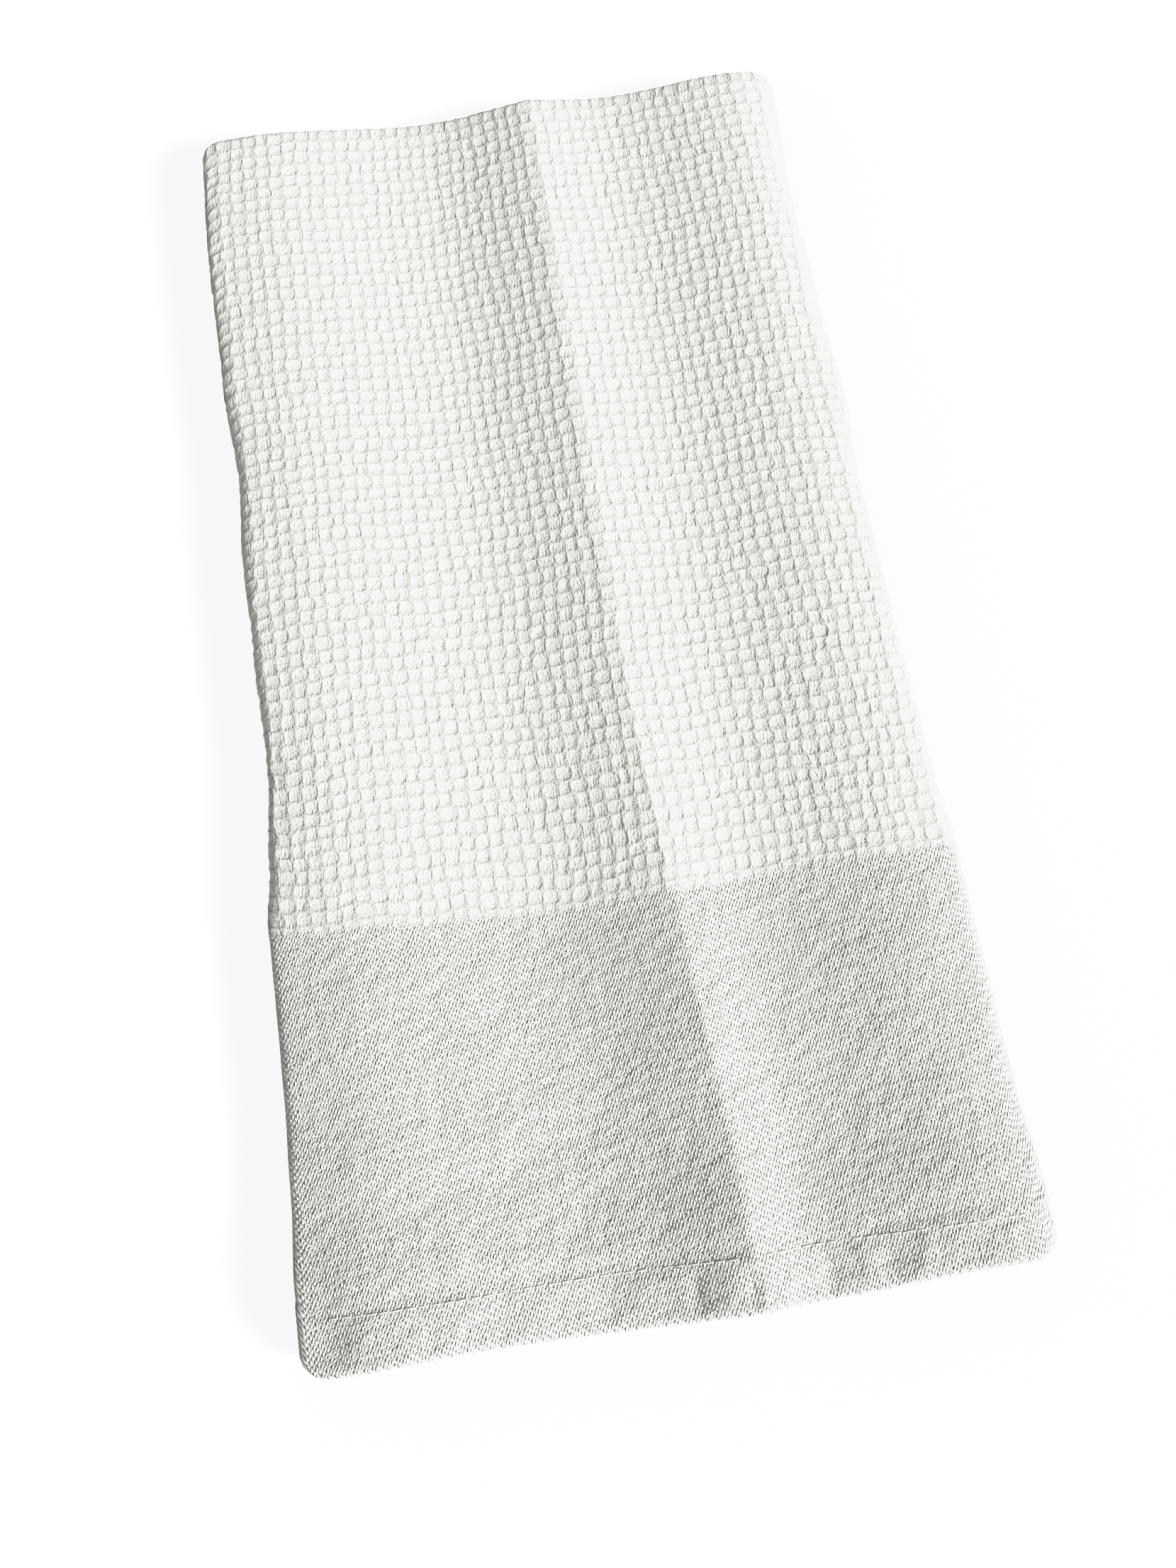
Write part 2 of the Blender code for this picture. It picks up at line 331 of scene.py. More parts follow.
def cell_relief(u, v):
    """Height of the weave over the net's own level, 0 on a ridge and below 0 in a cell."""
    a, b = cell_count(u, v)
    i, j = np.floor(a + ON_WALL).astype(int), np.floor(b + ON_WALL).astype(int)
    chance = np.random.default_rng(21).uniform(-1, 1, (CELL_CHANCES, CELL_CHANCES))
    depth = CELL_DEPTH * (1 + DEPTH_SPREAD * chance[i % CELL_CHANCES, j % CELL_CHANCES])
    to_wall = np.abs(2 * (a - i) - 1) ** CELL_ROUND + np.abs(2 * (b - j) - 1) ** CELL_ROUND
    bowl = np.clip(1 - to_wall, 0, 1) ** BOWL_FLAT
    lean = FLOOR_TILT * depth * chance[j % CELL_CHANCES, i % CELL_CHANCES]
    tilt = lean * np.sin(2 * math.pi * (a - i)) * bowl
    net = NET_UNEVEN * rumple(u, v, CELL_ACROSS, CELL_ALONG, seed=22)
    return net - depth * bowl + tilt


# %% [markdown]
# ## The band and the hem
#
# Below the field the cloth passes into a plain twill band, which is thinner and flat but for soft
# wrinkles. Its end is turned under and sewn down. The seam draws the cloth in: a fine trough runs
# along the stitches, the turned edge puckers between them, and a soft crease lies just above.
# Each crease is a short line of places with a width and a depth of its own, and it is pressed
# into the skin as a rounded trough. A picture of creases would be quicker, but it would stay dark
# when the light comes from elsewhere.

# %% Creases and puckers of the band, in mm
# x, how far the line between band and field lies from its mean
CHANGE_ROWS = (
    (-101, 3.4), (-79, 2.2), (-46, 0.4), (-25, -1.1), (25, -0.4), (63, 0.6), (99, 0.6),
)
# x, y of the row of stitches
SEAM_ROWS = ((-101, -181.0), (-40, -181.6), (20, -182.4), (101, -183.0))
# name, (x, y) of places on the line, width, depth
BAND_CREASES = (
    ("above the seam", ((-90, -178.8), (-40, -178.2), (16, -178.9), (30, -180.6)), 2.4, 0.35),
    ("right of the ridge", ((27, -181.5), (47, -180.6), (64, -179.4), (88, -177.6)), 2.2, 0.22),
    ("left wrinkle", ((-78, -160), (-52, -154), (-30, -151)), 3.0, 0.22),
    ("middle wrinkle", ((-44, -168), (-18, -162), (8, -160)), 2.6, 0.25),
    ("low wrinkle", ((-60, -173), (-20, -171), (12, -172.5)), 2.0, 0.22),
    ("right wrinkle", ((46, -150), (66, -143), (84, -140)), 3.4, 0.25),
    ("upper wrinkle", ((60, -104), (76, -98), (92, -97)), 3.0, 0.25),
)
# x, height and width of the puckers of the hem
HEM_PUCKERS = (
    (-92, -0.5, 4.0), (-84, 0.3, 3.5), (-71, 0.3, 4.0), (-59, 0.45, 3.5), (-48, -0.35, 3.5),
    (-38, 0.45, 3.5), (-21, -0.5, 3.0), (-11, 0.5, 3.5), (3.7, -0.8, 2.2), (12, 0.7, 3.0),
    (18.5, -0.85, 2.0), (28, 0.3, 3.0), (40, -0.7, 3.0), (49, 0.6, 3.0), (56, -0.5, 2.5),
    (65, 0.7, 3.2), (78, -0.3, 4.0), (89, 0.2, 3.0),
)
print("creases:", len(BAND_CREASES), "and puckers:", len(HEM_PUCKERS))

# %% Relief of the band and the hem
CREASE_FADE = 12 * MM  # length over which a crease runs out at each end
SEAM_TROUGH = 0.1 * MM
SEAM_WIDTH = 1.3 * MM
PUCKER_LENGTH = HEM_DEPTH - 2 * MM  # from the seam to the turned edge
PUCKER_FULL = 0.8  # less for a fuller pucker
PUCKER_RISE = 6  # a pucker rises within one part in six of its length
HEM_RISE = 1.8 * MM  # the thick hem holds the end of the face up by this much
HEM_RISE_START = -152 * MM
HEM_RISE_LENGTH = 28 * MM
WRINKLE = 0.3 * MM
WRINKLE_SLANT = 0.4
WRINKLE_PATCH = (26 * MM, 11 * MM)
FINE_SHARE = 0.5
FINE_PATCH = (9 * MM, 6 * MM)
HEM_FADE, CHANGE_FADE = 6 * MM, 8 * MM  # where the wrinkles start and stop
RELIEF_REACH = BAND_DEPTH + 20 * MM  # past this the cloth has no relief but its cells


def trough(x, y, line, width, depth):
    """A rounded trough along a line of places in mm, fading at both ends."""
    places = np.array(line) * MM
    middle = read_rows(line, x)[0]
    fade = ease((x - places[0, 0]) / CREASE_FADE) * ease((places[-1, 0] - x) / CREASE_FADE)
    return -depth * MM * fade * np.exp(-(((y - middle) / (width * MM)) ** 2))


def band_relief(x, y, from_end):
    """Height of the small forms of the band and hem of the near end of the face."""
    seam = read_rows(SEAM_ROWS, x)[0]
    height = -SEAM_TROUGH * np.exp(-(((y - seam) / SEAM_WIDTH) ** 2))
    in_hem = np.clip((seam - y) / PUCKER_LENGTH, 0.0, 1.0)
    hump = np.sin(math.pi * in_hem) ** PUCKER_FULL * ease(in_hem * PUCKER_RISE)
    for place, high, wide in HEM_PUCKERS:
        height = height + high * MM * hump * np.exp(-(((x - place * MM) / (wide * MM)) ** 2))
    for _, line, width, depth in BAND_CREASES:
        height = height + trough(x, y, line, width, depth)
    height = height + HEM_RISE * ease((HEM_RISE_START - y) / HEM_RISE_LENGTH)
    soft = rumple(x + y, y - WRINKLE_SLANT * x, *WRINKLE_PATCH, seed=31)
    soft = soft + FINE_SHARE * rumple(x, y, *FINE_PATCH, seed=32)
    in_band = ease((from_end - HEM_DEPTH) / HEM_FADE) * ease((BAND_DEPTH - from_end) / CHANGE_FADE)
    height = height + WRINKLE * soft * in_band
    return height * (from_end < RELIEF_REACH)


# %% [markdown]
# ## Folding the cloth
#
# Each half of the towel starts as Blender's own flat grid. Every point of that grid stands for a
# place on the flat cloth, u across and v along it, and it is moved to where the folds take that
# place. A block with lines cut into its sides would be less work, but at the stitched end the
# eye looks in between the layers. Nearly all the points are spent on the face, where the cells
# show; the flaps, which lie hidden between the layers, have few. At the ends and long edges the
# skin turns round the edge of the cloth and runs a little way along its back, so no edge is paper
# thin. The flat place of each point is kept with it, because the material draws its yarns by it.

# %% Rows of the two grids
PLAIN, TURNED = 1.0, -1.0  # the right side of the cloth, and its back
EDGE_STEPS = 6  # from the face round an edge to the back
# distance from the edge, in mm, of the rows or columns that run along the back
FRONT_BACK, REAR_BACK, FLAP_BACK = (20, 12, 5, 2), (20, 10, 4), (5, 2)
# start, end and number of steps of the rows of the band, in mm from the end of the cloth
FRONT_BAND = ((1.2, 12, 7), (12, 20, 11), (20, 36, 8), (36, 106, 23), (106, 111, 4))
REAR_BAND = ((1.2, 12, 4), (12, 18, 4), (18, 108, 14))
BEHIND_TURN = 3 * MM  # the two halves meet within a cell of this far behind the turn


def edge_of_cloth(back):
    """(distance from the edge, side, bulge) of the points that turn round an edge of the cloth."""
    points = [(distance * MM, TURNED, 0.0) for distance in back]
    for step in range(1, EDGE_STEPS):
        angle = math.pi * (step / EDGE_STEPS - 0.5)
        points.append((HEM_THICK / 2, math.sin(angle), math.cos(angle)))
    return points


def rows_of_band(stops):
    rows = []
    for start, end, count in stops:
        rows += [(mix(start, end, step / count) * MM, PLAIN, 0.0) for step in range(count)]
    return rows


def rows_of_field(start, end):
    cells = range(round((end - start) / CELL_ALONG))
    places = [start + (cell + stop) * CELL_ALONG for cell in cells for stop in STOPS_ALONG]
    return [(v, PLAIN, 0.0) for v in places + [end]]


cells_before = math.floor((front_length + turn_length + BEHIND_TURN - BAND_DEPTH) / CELL_ALONG)
seam_of_halves = BAND_DEPTH + CELL_ALONG * cells_before
cells_behind = math.floor((cloth_length - BAND_DEPTH - seam_of_halves) / CELL_ALONG)
rear_field_end = seam_of_halves + CELL_ALONG * cells_behind

front_rows = edge_of_cloth(FRONT_BACK) + rows_of_band(FRONT_BAND)
front_rows += rows_of_field(BAND_DEPTH, seam_of_halves)
rear_rows = rows_of_field(seam_of_halves, rear_field_end)
for from_end, side, bulge in reversed(edge_of_cloth(REAR_BACK) + rows_of_band(REAR_BAND)):
    rear_rows.append((cloth_length - from_end, side, bulge))
print("rows:", len(front_rows), "front,", len(rear_rows), "rear")

# %% Columns of the two grids
DENSE_REACH = 25  # cells either side of the middle of the face that are modelled
SIDE_REACH = 5  # cells at each side of the rear half that are modelled
FLAP_STEPS = 9
UNDERSIDE_STEPS = 14  # across the plain middle of the rear half
FLAP_WIDTH = 90 * MM  # roughly, to space the points along its edge


def columns_of_cells(first, last):
    columns = [(cell + stop) * CELL_ACROSS for cell in range(first, last) for stop in STOPS_ACROSS]
    return columns + [last * CELL_ACROSS]


def with_flaps(face):
    """(u, share of the way to the long edge, side, bulge, relief) of each column of both flaps."""
    right = [(face[-1], step / FLAP_STEPS, PLAIN, 0.0, 0.0) for step in range(1, FLAP_STEPS + 1)]
    for back, side, bulge in reversed(edge_of_cloth(FLAP_BACK)):
        right.append((face[-1], 1 - back / FLAP_WIDTH, side, bulge, 0.0))
    left = [(face[0], -share, side, bulge, weave) for _, share, side, bulge, weave in right[::-1]]
    return left, right


def on_face(columns, weave):
    return [(u, 0.0, PLAIN, 0.0, weave) for u in columns]


face_columns = columns_of_cells(-DENSE_REACH, DENSE_REACH)
left_side = columns_of_cells(-DENSE_REACH, -DENSE_REACH + SIDE_REACH)
right_side = columns_of_cells(DENSE_REACH - SIDE_REACH, DENSE_REACH)
underside = [
    mix(left_side[-1], right_side[0], step / UNDERSIDE_STEPS) for step in range(1, UNDERSIDE_STEPS)
]
left_flap, right_flap = with_flaps(face_columns)
front_columns = left_flap + on_face(face_columns, 1.0) + right_flap
rear_columns = left_flap + on_face(left_side, 1.0) + on_face(underside, 0.0)
rear_columns += on_face(right_side, 1.0) + right_flap
print("columns:", len(front_columns), "front,", len(rear_columns), "rear")

# %% The folding itself
FIELD_START = 4 * MM  # length over which the cells rise out of the band
BOW_SIDE = 100 * MM  # past this, on the flaps, the line between band and field bows no more
CHANGE_REACH = 45 * MM  # how far the bow of that line pulls the cloth along with it


def spread_flaps(u, share, left, right, ridge):
    """Moves the columns of the flaps from the sides to their share of the way to the edges."""
    right_edge = right + roll_length + right - ridge - FLAP_GAP / 2
    left_edge = left - roll_length - (ridge - FLAP_GAP / 2 - left)
    to_right = np.where(share > 0, share * (right_edge - u), 0)
    to_left = np.where(share < 0, share * (u - left_edge), 0)
    return u + to_right + to_left


def pull_of_bow(u, v):
    """How far the bowed line between the band and the field pulls the front half's cloth."""
    bow = read_rows(CHANGE_ROWS, np.clip(u, -BOW_SIDE, BOW_SIDE))[0]
    pull = ease(np.clip(1 - np.abs(v - BAND_DEPTH) / CHANGE_REACH, 0, 1))
    return bow * pull * (v < front_length)


def shaped_end(x, y, places):
    """y with the waver of the stitched end and the rounded corners."""
    y = y + read_rows(END_ROWS, x)[0] * ease(1 - (y + FACE_LENGTH / 2) / END_REACH)
    inwards = np.minimum(x - places[0], places[-1] - x)
    drawn_in = CORNER_RADIUS * (1 - quarter_round(inwards, CORNER_RADIUS))
    return y * (1 - drawn_in / (FACE_LENGTH / 2))


def folded(rows, columns):
    """Places of the folded points and of the same points on the flat cloth, rows by columns."""
    v, row_side, row_bulge = (np.array(values)[:, None] for values in zip(*rows))
    u, share, column_side, column_bulge, weave = (
        np.array(values)[None, :] for values in zip(*columns)
    )
    row_y, _, from_end = along_towel(v)
    places, heights = fold_lines(row_y)
    reach = SIDE_ROLL + FIELD_THICK / 2
    left, right = places[0] + reach, places[-1] - reach
    u = spread_flaps(u, share, left, right, places[RIDGE])
    v = v + 0 * u

    # the net's slip, and then the folds: first across the towel, then over its middle
    relief_here = weave * ease((from_end - BAND_DEPTH) / FIELD_START)
    shift_u, shift_v = slipped(u, v)
    flat_u, flat_v = u + shift_u * relief_here, v + shift_v * relief_here
    y, angle, _ = along_towel(flat_v + pull_of_bow(flat_u, v))
    x, level, outward_x, outward_level = across_towel(flat_u, left, right)
    down = (1 - np.cos(angle)) / 2
    outer = (level - LAYER_PITCH / 2) / LAYER_PITCH
    share_up = mix(FRONT_FLAP_LIFT, FACE_LIFT, outer)
    share_down = mix(REAR_FLAP_LIFT, REAR_FACE_LIFT, outer)
    lift = lift_of(x, y, places, heights) * mix(share_up, share_down, down)

    # the skin: half the cloth's thickness out from its middle, with the relief on it
    thick = thickness(from_end)
    side = np.minimum(row_side, column_side)
    skin = side * thick / 2
    skin = skin + relief_here * (mix(NET_PROUD, NET_PRESSED, down) + cell_relief(u, v))
    upper = np.clip(outward_level, 0, 1) * (side == PLAIN)
    skin = skin + upper * band_relief(x, y, v) * (1 - relief_here)
    x = x + outward_x * skin - np.sign(x) * column_bulge * thick / 2
    level = level + outward_level * skin
    z = STACK_MIDDLE + mix(FIELD_THICK, thick, down) / 2 + level * np.cos(angle) + lift
    y = y + (TURN_SLACK + level) * np.sin(angle) - row_bulge * thick / 2
    y = shaped_end(x, y, places)
    points = np.stack([x, y, z], -1)
    cloth = np.stack([flat_u, flat_v, 0 * z], -1)
    cells = np.stack([*cell_count(u, v), relief_here], -1)
    return points, cloth, cells


# %% From a flat grid to a half of the cloth
GRID = 2.0  # side of the flat grid before it is folded


def places_in(mesh):
    """An array with one row of x, y, z for each point."""
    places = np.empty(len(mesh.vertices) * 3)
    mesh.vertices.foreach_get("co", places)
    return places.reshape(-1, 3)


def finish_mesh(piece, name):
    """Names the mesh, drops its unused UV maps and shades it smooth."""
    piece.name = name
    piece.data.name = name
    while piece.data.uv_layers:
        piece.data.uv_layers.remove(piece.data.uv_layers[0])
    bpy.ops.object.shade_smooth()
    triangles = sum(len(face.vertices) - 2 for face in piece.data.polygons)
    print(name, "triangles:", triangles)


def cloth_piece(name, rows, columns):
    """A flat grid of Blender's own, moved point by point to where the cloth is folded to."""
    last_column, last_row = len(columns) - 1, len(rows) - 1
    bpy.ops.object.select_all(action="DESELECT")
    bpy.ops.mesh.primitive_grid_add(
        x_subdivisions=last_column, y_subdivisions=last_row, size=GRID, location=(0, 0, 0)
    )
    piece = bpy.context.active_object
    mesh = piece.data
    flat = places_in(mesh)
    column = np.rint((flat[:, 0] / GRID + 0.5) * last_column).astype(int)
    row = np.rint((flat[:, 1] / GRID + 0.5) * last_row).astype(int)
    points, cloth, cells = folded(rows, columns)
    mesh.vertices.foreach_set("co", points[row, column].ravel())
    for kept, values in (("flat_cloth", cloth), ("cell_place", cells)):
        attribute = mesh.attributes.new(kept, "FLOAT_VECTOR", "POINT")
        attribute.data.foreach_set("vector", values[row, column].ravel())
    mesh.update()
    finish_mesh(piece, name)
    print("its area in m2:", round(sum(face.area for face in mesh.polygons), 4))
    return piece


front_cloth = cloth_piece("towel_front_half", front_rows, front_columns)
rear_cloth = cloth_piece("towel_rear_half", rear_rows, rear_columns)

# %% [markdown]
# ## The stitches
#
# The hem is held by a row of lockstitches in white cotton thread. From above, each stitch is a
# short length of thread that dives into the cloth at both ends. A dashed line in the material
# would do from afar, but thread stands proud of the cloth and catches the light on its own. So
# each stitch is a small sphere drawn out to its length and laid to the slope of the cloth, and
# all of them are joined.

# %% Places along the seam
STITCH_LENGTH = 2.9 * MM
STITCH_GAP = 0.5 * MM
SEAM_SIDE = 96 * MM  # the row stops this far from the middle of the face
FACE_ABOVE = 6 * MM  # all of the face is higher than this


def stitch_places():
    """Both ends of each stitch, from the left side of the face to the right one."""
    places = places_in(front_cloth.data)
    top = places[places[:, 2] > FACE_ABOVE]
    stitches = []
    for x in np.arange(-SEAM_SIDE, SEAM_SIDE, STITCH_LENGTH + STITCH_GAP):
        ends = []
        for place in (x, x + STITCH_LENGTH):
            y = read_rows(SEAM_ROWS, np.array(place))[0]
            nearest = np.argmin(np.hypot(top[:, 0] - place, top[:, 1] - y))
            ends.append(Vector((place, y, top[nearest, 2])))
        stitches.append(ends)
    return stitches


stitch_ends = stitch_places()
print("stitches:", len(stitch_ends))

# %% Row of stitches
THREAD_THICK = 0.42 * MM
STITCH_RISE = 0.05 * MM  # the middle of the thread lies this far above the trough
STITCH_SEGMENTS, STITCH_RINGS = 8, 6


def stitch_row():
    stitches = []
    for start, end in stitch_ends:
        bpy.ops.object.select_all(action="DESELECT")
        bpy.ops.mesh.primitive_uv_sphere_add(
            segments=STITCH_SEGMENTS, ring_count=STITCH_RINGS, radius=0.5, location=(0, 0, 0)
        )
        stitch = bpy.context.active_object
        along = end - start
        turn = Vector((1, 0, 0)).rotation_difference(along).to_matrix().to_4x4()
        size = Matrix.Diagonal((along.length, THREAD_THICK, THREAD_THICK, 1))
        middle = (start + end) / 2 + Vector((0, 0, STITCH_RISE))
        stitch.data.transform(Matrix.Translation(middle) @ turn @ size)
        stitches.append(stitch)
    for stitch in stitches:
        stitch.select_set(True)
    bpy.context.view_layer.objects.active = stitches[0]
    bpy.ops.object.join()
    row = bpy.context.active_object
    finish_mesh(row, "hem_stitches")
    return row


hem_stitches = stitch_row()

# %% [markdown]
# ## Bleached cotton
#
# The cloth is thick bleached cotton yarn with no dye in it: matt, nearly white and faintly warm.
# Cotton has a refractive index near 1.5, but its fibres scatter so much that no gloss is left,
# only a soft sheen at the edges. Two patterns tell the eye that it is woven. In the cells the warp
# yarns show as short upright strands, about half a millimetre thick. In the band the yarns float
# over one another in steps, and the floats line up as diagonals that fall to the right, 1.43 mm
# apart. A picture of cloth could be laid on, but it would bring its own light and its repeat
# would show. So both are drawn by nodes, on the flat cloth's own places, and follow every fold.
#
# Two things are painted in tone as well as drawn in bump. Between the floats of the net the cloth
# is thin and lies in its own shade, so that shade is painted into its colour and those gaps are
# greyer, and so are the furrows between the diagonals, as painted shade. Bump alone fades where the
# light falls straight on the cloth, and the weave would vanish from the bright crowns.


# %% Colour and node helpers
def linear(code):
    """Linear colour of an sRGB hex code."""
    parts = [int(code[k:k + 2], 16) / 255 for k in (1, 3, 5)]
    return (*(p / 12.92 if p <= 0.04045 else ((p + 0.055) / 1.055) ** 2.4 for p in parts), 1.0)


def node(tree, kind, sources=(), **settings):
    """Adds a node with its settings. Its inputs are given in order, or by name or number.

    Each source is a plain value to set, a socket to link, or a node, whose first output is linked.
    """
    made = tree.nodes.new("ShaderNode" + kind)
    for name, value in settings.items():
        setattr(made, name, value)
    for name, source in sources.items() if isinstance(sources, dict) else enumerate(sources):
        if isinstance(source, bpy.types.Node):
            source = source.outputs[0]
        if isinstance(source, bpy.types.NodeSocket):
            tree.links.new(source, made.inputs[name])
        else:
            made.inputs[name].default_value = source
    return made


def new_material(name, **sockets):
    """A material with numbers set on its shader's own sockets. Returns it, its tree, its shader."""
    material = bpy.data.materials.new(name)
    material.use_nodes = True
    shader = material.node_tree.nodes["Principled BSDF"]
    for socket, value in sockets.items():
        shader.inputs[socket.replace("_", " ")].default_value = value
    return material, material.node_tree, shader


def set_tones(ramp, tones):
    """Gives a colour ramp its places and hex colours."""
    for element, (place, code) in zip(ramp.color_ramp.elements, tones):
        element.position = place
        element.color = linear(code)


# %% Patterns of yarn
NOISE_ROUGH = 0.55


def waves(tree, place, spacing, degrees, phase):
    """Height from -1 to 1 of even waves, spacing apart, that run square to a direction."""
    angle = math.radians(degrees)
    turns = 2 * math.pi / spacing
    pull = (math.cos(angle) * turns, math.sin(angle) * turns, 0)
    dot = node(tree, "VectorMath", (place, pull), operation="DOT_PRODUCT").outputs["Value"]
    swayed = node(tree, "Math", (dot, phase), operation="ADD")
    return node(tree, "Math", (swayed,), operation="SINE")


def fuzz(tree, place, across, along, detail):
    """Noise from 0 to 1 whose humps are across wide and along long."""
    scaled = node(tree, "VectorMath", (place, (1 / across, 1 / along, 0)), operation="MULTIPLY")
    noise = {"Vector": scaled, "Scale": 1.0, "Detail": detail, "Roughness": NOISE_ROUGH}
    return node(tree, "TexNoise", noise).outputs["Fac"]


def to_wall(tree, count):
    """0 in the middle of a cell, rising to 1 at its wall."""
    share = node(tree, "Math", (count,), operation="FRACT")
    away = node(tree, "Math", (share, 2.0, -1.0), operation="MULTIPLY_ADD")
    size = node(tree, "Math", (away,), operation="ABSOLUTE")
    return node(tree, "Math", (size, CELL_ROUND), operation="POWER")


# %% Sizes of the yarns, and how high they stand
STRAND = (0.6 * MM, 2.4 * MM)  # width and length of a strand of warp in a cell
GRAIN = 0.75 * MM  # fibres are finer than this, but wouldn't show in a picture of the whole towel
CLUMP = 1.0 * MM  # of floats that stand a little higher than their neighbours
RUMPLE = (5 * CLUMP, 3 * CLUMP)  # soft unevenness of the band
TWILL = 1.43 * MM  # distance between two diagonals
TWILL_ANGLE = 58  # degrees from across the cloth to the direction square to the diagonals
FLOAT_LENGTH = 0.87 * MM
FLOAT_ANGLE = 152
SWAY = 5.0  # radians by which the clumps push the diagonals to and fro
CREST_ROUND = 1.5  # more for a narrower crest
KNOT_ROUND = 1.2
GAP_NARROW = 4.0  # more for a narrower gap
# heights in mm
CREST_HIGH, STRAND_HIGH, GRAIN_HIGH = 0.175, 0.3, 0.27
TWILL_HIGH, FLOAT_HIGH, CLUMP_HIGH, RUMPLE_HIGH = 0.14, 0.2, 0.34, 1.0
# painted shade: the colour is darkened in the furrows between the diagonals and in the gaps between
# the floats
FURROW_SHADE = 0.28  # how much the furrows between the diagonals darken
GAP_SHADE = 0.5  # how far the gaps between the floats darken towards grey
COTTON_TONES = ((0.28, "#D6D5CE"), (0.7, "#F9F8F3"))
GAP_SHADE_TONE = "#9A9A94"
twill_along = TWILL / math.sin(math.radians(TWILL_ANGLE))
print("twill lines, mm apart along the towel:", round(twill_along / MM, 2))


# %% The woven cotton
def height_in_cell(tree, place, walls):
    """Height of the weave in the field: the net's crests, and the strands between them."""
    crest = node(tree, "Math", (walls, CREST_ROUND), operation="POWER")
    crest = node(tree, "Math", (crest, CREST_HIGH), operation="MULTIPLY")
    strands = fuzz(tree, place, *STRAND, 1.0)
    return node(tree, "Math", (strands, STRAND_HIGH, crest), operation="MULTIPLY_ADD")


def height_in_band(tree, place, diagonals, sway):
    """Height of the weave in the band: diagonals, the floats on them, clumps and soft rumples."""
    on_top = node(tree, "Math", (diagonals, 0.5, 0.5), operation="MULTIPLY_ADD")
    floats = waves(tree, place, FLOAT_LENGTH, FLOAT_ANGLE, sway)
    floats = node(tree, "Math", (floats, on_top), operation="MULTIPLY")
    height = node(tree, "Math", (diagonals, TWILL_HIGH), operation="MULTIPLY")
    clumps, rumples = fuzz(tree, place, CLUMP, CLUMP, 1.0), fuzz(tree, place, *RUMPLE, 1.0)
    for part, high in ((floats, FLOAT_HIGH), (clumps, CLUMP_HIGH), (rumples, RUMPLE_HIGH)):
        height = node(tree, "Math", (part, high, height), operation="MULTIPLY_ADD")
    return height


def woven_cotton():
    material, tree, shader = new_material(
        "bleached_woven_cotton", Roughness=0.88, IOR=1.5, Sheen_Weight=0.1, Sheen_Roughness=0.5
    )
    place = node(tree, "Attribute", attribute_name="flat_cloth").outputs["Vector"]
    counted = node(tree, "Attribute", attribute_name="cell_place").outputs["Vector"]
    cell = node(tree, "SeparateXYZ", (counted,)).outputs
    in_field = cell["Z"]
    in_band = node(tree, "Math", (1.0, in_field), operation="SUBTRACT")
    side, end = to_wall(tree, cell["X"]), to_wall(tree, cell["Y"])
    both = node(tree, "Math", (side, end), operation="ADD")
    walls = node(tree, "Math", (both, 1.0), operation="MINIMUM")
    clumps = fuzz(tree, place, CLUMP, CLUMP, 1.0)
    sway = node(tree, "Math", (clumps, SWAY), operation="MULTIPLY")
    diagonals = waves(tree, place, TWILL, TWILL_ANGLE, sway)
    grain = fuzz(tree, place, GRAIN, GRAIN, 2.0)

    band = height_in_band(tree, place, diagonals, sway)
    field = height_in_cell(tree, place, walls)
    woven = node(tree, "Mix", {"Factor": in_field, "A": band, "B": field})
    height = node(tree, "Math", (grain, GRAIN_HIGH, woven), operation="MULTIPLY_ADD")
    bump = node(tree, "Bump", {"Strength": 1.0, "Distance": 1.0 * MM, "Height": height})
    tree.links.new(bump.outputs["Normal"], shader.inputs["Normal"])

    # tone: the grain and the painted shade of the furrows, then the painted shade of the gaps,
    # which the knots at the crossings cover
    furrows = node(tree, "Math", (diagonals, in_band), operation="MULTIPLY")
    tone = node(tree, "Math", (furrows, FURROW_SHADE, grain), operation="MULTIPLY_ADD")
    ramp = node(tree, "ValToRGB", (tone,))
    set_tones(ramp, COTTON_TONES)
    rim = node(tree, "Math", (walls, GAP_NARROW), operation="POWER")
    crossing = node(tree, "Math", (side, end), operation="MULTIPLY")
    knot = node(tree, "Math", (crossing, KNOT_ROUND), operation="POWER")
    gap = node(tree, "Math", (rim, knot), operation="SUBTRACT")
    gap = node(tree, "Math", (gap, in_field), operation="MULTIPLY")
    gap = node(tree, "Math", (gap, GAP_SHADE), operation="MULTIPLY")
    # inputs 0, 6 and 7 of a colour Mix are its factor and its two colours, output 2 is the result
    colour = node(tree, "Mix", {0: gap, 6: ramp, 7: linear(GAP_SHADE_TONE)}, data_type="RGBA")
    tree.links.new(colour.outputs[2], shader.inputs["Base Color"])
    return material


cotton = woven_cotton()
print("material:", cotton.name)

# %% [markdown]
# ## Sewing thread
#
# The thread is twisted from two finer plies of cotton and has a little more gloss than the cloth.
# Its twist is half a millimetre long, too fine to model on so many stitches, so the light and shade
# of its plies are painted as a slight change of tone along the thread.

# %% The sewing thread
TWIST = 0.5 * MM
TWIST_ANGLE = 40
# painted light and shade of the twisted plies, in place of their relief
TWIST_SHADE_TONES = ((0.0, "#E4E4DE"), (1.0, "#F6F6F2"))


def sewing_thread():
    material, tree, shader = new_material("white_cotton_sewing_thread", Roughness=0.7)
    place = node(tree, "TexCoord").outputs["Object"]
    tone = node(tree, "ValToRGB", (waves(tree, place, TWIST, TWIST_ANGLE, 0.0),))
    set_tones(tone, TWIST_SHADE_TONES)
    tree.links.new(tone.outputs["Color"], shader.inputs["Base Color"])
    return material


thread = sewing_thread()
for piece, material in ((front_cloth, cotton), (rear_cloth, cotton), (hem_stitches, thread)):
    piece.data.materials.clear()
    piece.data.materials.append(material)
    print(piece.name, "is made of", material.name)
